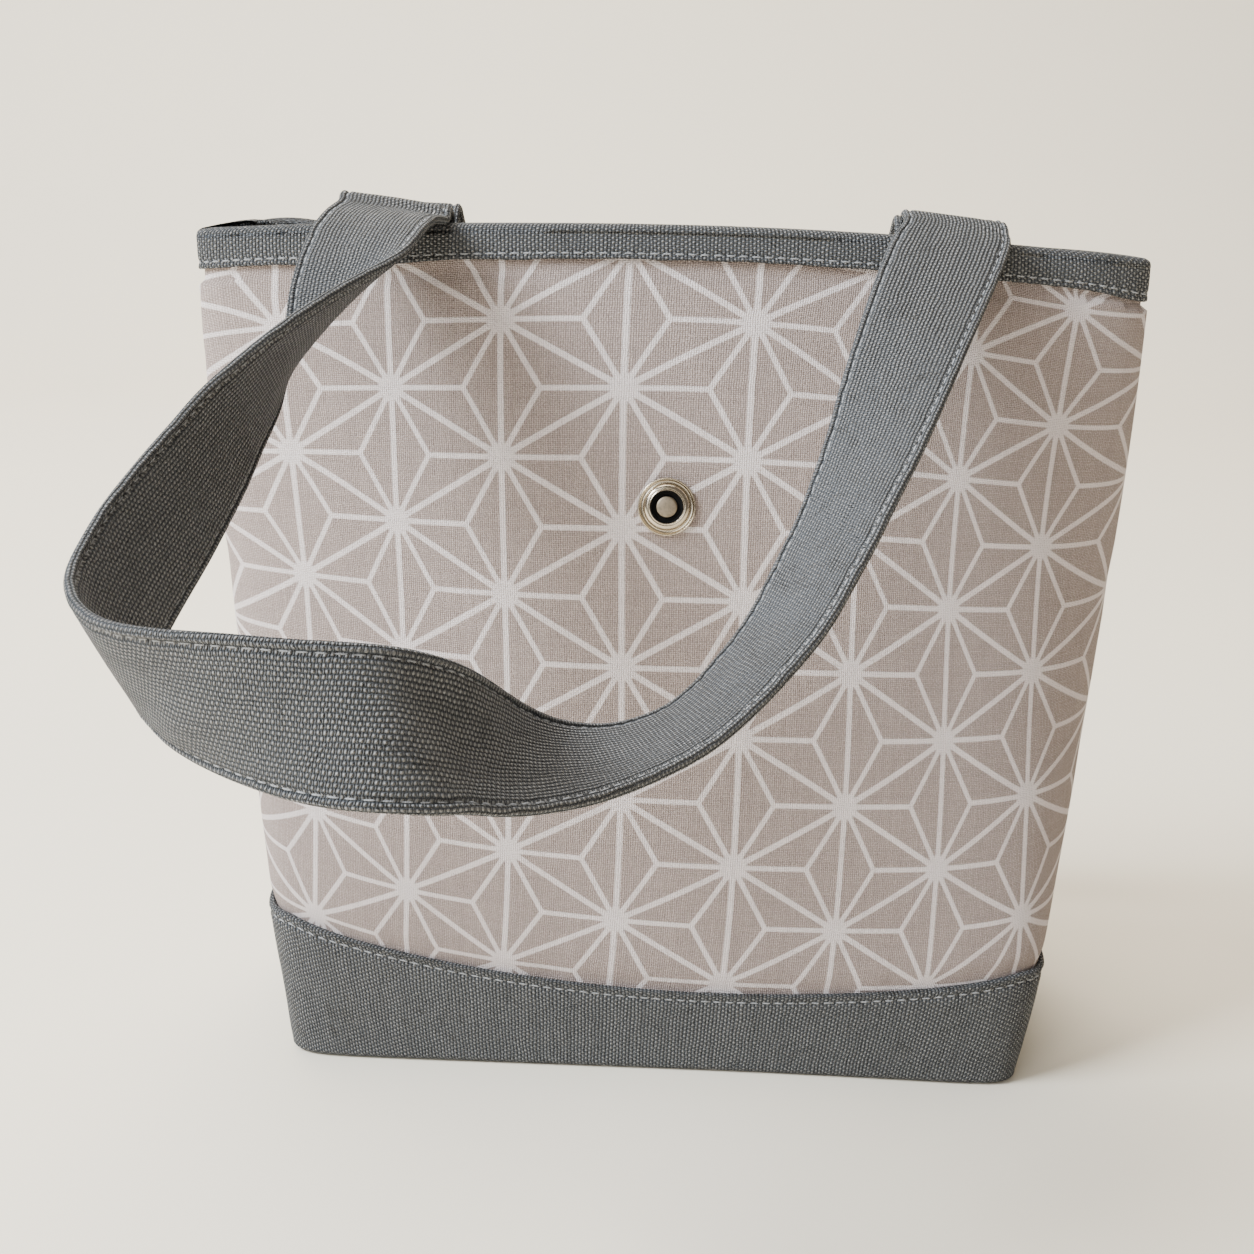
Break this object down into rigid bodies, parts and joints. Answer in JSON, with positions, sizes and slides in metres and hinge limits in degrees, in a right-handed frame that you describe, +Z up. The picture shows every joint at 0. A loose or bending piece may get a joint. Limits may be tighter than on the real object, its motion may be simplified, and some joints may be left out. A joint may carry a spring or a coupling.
{
  "type": "lunch bag",
  "caption": "Small quilted cloth lunch bag with a boxed canvas base, a bound rim, two folding canvas handles and a closing tab with a press snap.",
  "frame": {"origin": "middle of the flat underside of the bag's base, on the surface it stands on", "axes": "+Z up, -Y out of the front with the snap, +X to the right seen from the front"},
  "size_m": [0.2516, 0.3075, 0.2294],
  "materials": {
    "canvas": "plain-weave heather canvas",
    "print": "printed cotton",
    "lining": "smooth lining cloth",
    "padding": "soft batting",
    "board": "matte",
    "nickel": "polished nickel plate",
    "snap_seat": "black",
    "snap_post": "dull"
  },
  "bodies": {
    "bag": {"front_panel": "print", "back_panel": "print", "front_padding": "padding", "back_padding": "padding", "front_lining": "lining", "back_lining": "lining", "base_cover": "canvas", "base_padding": "padding", "base_board": "board", "base_lining": "lining", "rim_binding": "canvas", "right_seam_binding": "lining", "left_seam_binding": "lining", "front_handle_right_end": "canvas", "front_handle_left_end": "canvas", "back_handle_right_end": "canvas", "back_handle_left_end": "canvas", "front_snap_cap": "nickel", "front_snap_seat": "snap_seat", "front_snap_post": "snap_post", "front_snap_patch": "canvas", "front_snap_back_plate": "nickel", "closure_tab_root": "canvas"},
    "front_handle": {"front_handle": "canvas"},
    "back_handle": {"back_handle": "canvas"},
    "tab_bridge": {"closure_tab_bridge": "canvas"},
    "tab_flap": {"closure_tab_flap": "canvas", "tab_snap_collar": "nickel", "tab_snap_cap": "nickel"}
  },
  "joints": [
    {"name": "front_handle_swing", "type": "hinge", "parent": "bag", "child": "front_handle", "pos_m": [0, -0.01347, 0.22848], "axis": [-1, 0, 0], "range_deg": [0, 115]},
    {"name": "back_handle_swing", "type": "hinge", "parent": "bag", "child": "back_handle", "pos_m": [0, 0.01325, 0.22564], "axis": [1, 0, 0], "range_deg": [0, 150]},
    {"name": "closure_tab_fold", "type": "hinge", "parent": "bag", "child": "tab_bridge", "pos_m": [0, 0.01747, 0.2205], "axis": [1, 0, 0], "range_deg": [0, 237.8]},
    {"name": "closure_flap_fold", "type": "hinge", "parent": "tab_bridge", "child": "tab_flap", "pos_m": [0, 0.03006, 0.18365], "axis": [1, 0, 0], "range_deg": [0, 93.8]}
  ]
}
